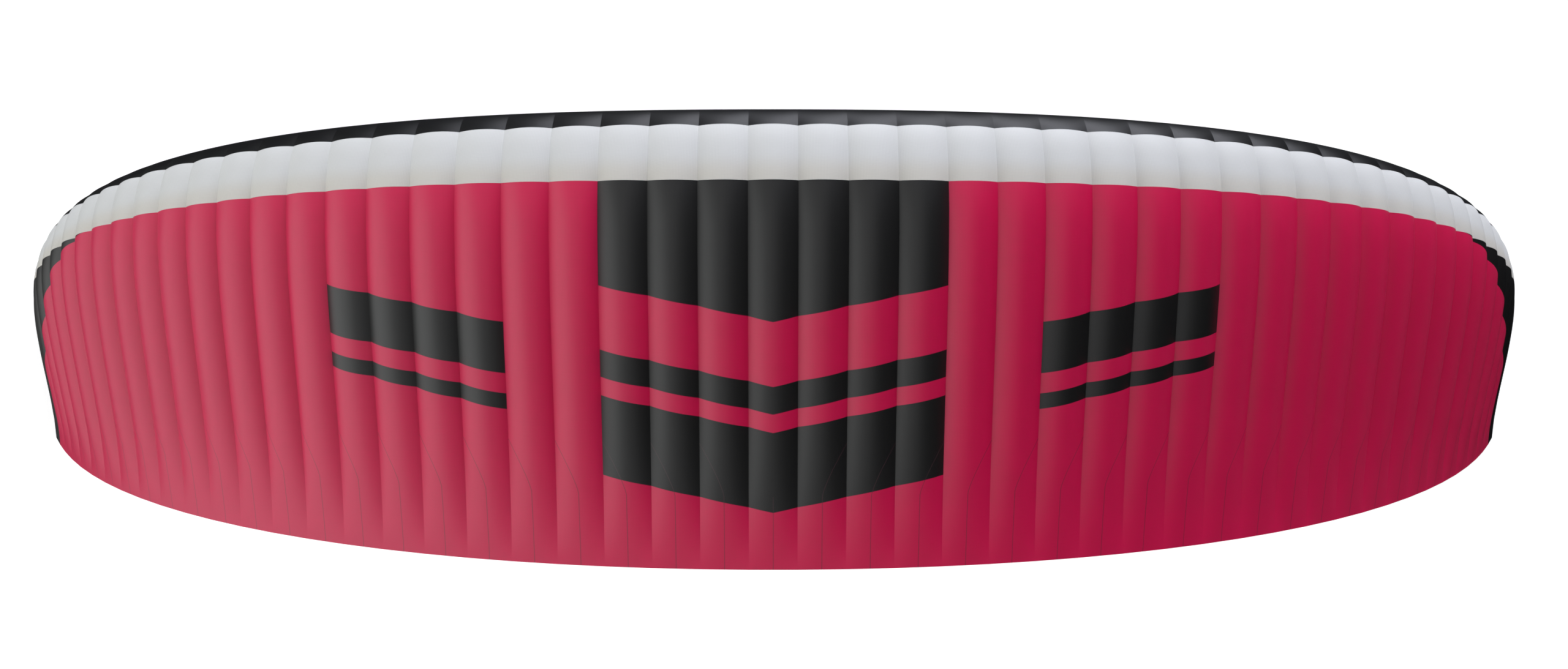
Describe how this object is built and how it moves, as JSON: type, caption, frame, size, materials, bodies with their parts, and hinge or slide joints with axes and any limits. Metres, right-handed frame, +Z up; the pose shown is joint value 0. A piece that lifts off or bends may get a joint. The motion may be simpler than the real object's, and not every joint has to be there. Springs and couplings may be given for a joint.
{
  "type": "paraglider wing",
  "caption": "Ram-air paraglider canopy inflated in its flying arc: many swollen cells between ribs, nose intakes below, standing on its two flat tips.",
  "frame": {"origin": "on the floor under the middle of the wing, at the bottom centre of its bounding box", "axes": "+X along the span to the right, +Y forward in the flying direction, +Z up"},
  "size_m": [9.0608, 2.5596, 3.4717],
  "materials": {
    "nose_cloth": "coated ripstop, dark",
    "band_cloth": "coated ripstop, white",
    "main_cloth": "coated ripstop, crimson and dark",
    "lower_cloth": "coated ripstop, pale grey",
    "rib_cloth": "stiff coated cloth, white",
    "tip_cloth": "coated ripstop, dark"
  },
  "bodies": {
    "root": {"band_panels": "band_cloth", "nose_panels_left": "nose_cloth", "main_panels_left": "main_cloth", "lower_skin_left": "lower_cloth", "nose_panels_centre": "nose_cloth", "main_panels_centre": "main_cloth", "lower_skin_centre": "lower_cloth", "nose_panels_right": "nose_cloth", "main_panels_right": "main_cloth", "lower_skin_right": "lower_cloth", "rib_left_01": "rib_cloth", "rib_left_02": "rib_cloth", "rib_left_03": "rib_cloth", "rib_left_04": "rib_cloth", "rib_left_05": "rib_cloth", "rib_left_06": "rib_cloth", "rib_left_07": "rib_cloth", "rib_left_08": "rib_cloth", "rib_left_09": "rib_cloth", "rib_left_10": "rib_cloth", "rib_left_11": "rib_cloth", "rib_left_12": "rib_cloth", "rib_left_13": "rib_cloth", "rib_left_14": "rib_cloth", "rib_left_15": "rib_cloth", "rib_left_16": "rib_cloth", "rib_left_17": "rib_cloth", "rib_left_18": "rib_cloth", "rib_left_19": "rib_cloth", "rib_left_20": "rib_cloth", "rib_left_21": "rib_cloth", "rib_left_22": "rib_cloth", "rib_left_23": "rib_cloth", "rib_left_24": "rib_cloth", "tip_left": "tip_cloth", "rib_right_01": "rib_cloth", "rib_right_02": "rib_cloth", "rib_right_03": "rib_cloth", "rib_right_04": "rib_cloth", "rib_right_05": "rib_cloth", "rib_right_06": "rib_cloth", "rib_right_07": "rib_cloth", "rib_right_08": "rib_cloth", "rib_right_09": "rib_cloth", "rib_right_10": "rib_cloth", "rib_right_11": "rib_cloth", "rib_right_12": "rib_cloth", "rib_right_13": "rib_cloth", "rib_right_14": "rib_cloth", "rib_right_15": "rib_cloth", "rib_right_16": "rib_cloth", "rib_right_17": "rib_cloth", "rib_right_18": "rib_cloth", "rib_right_19": "rib_cloth", "rib_right_20": "rib_cloth", "rib_right_21": "rib_cloth", "rib_right_22": "rib_cloth", "rib_right_23": "rib_cloth", "rib_right_24": "rib_cloth", "tip_right": "tip_cloth"}
  },
  "joints": []
}
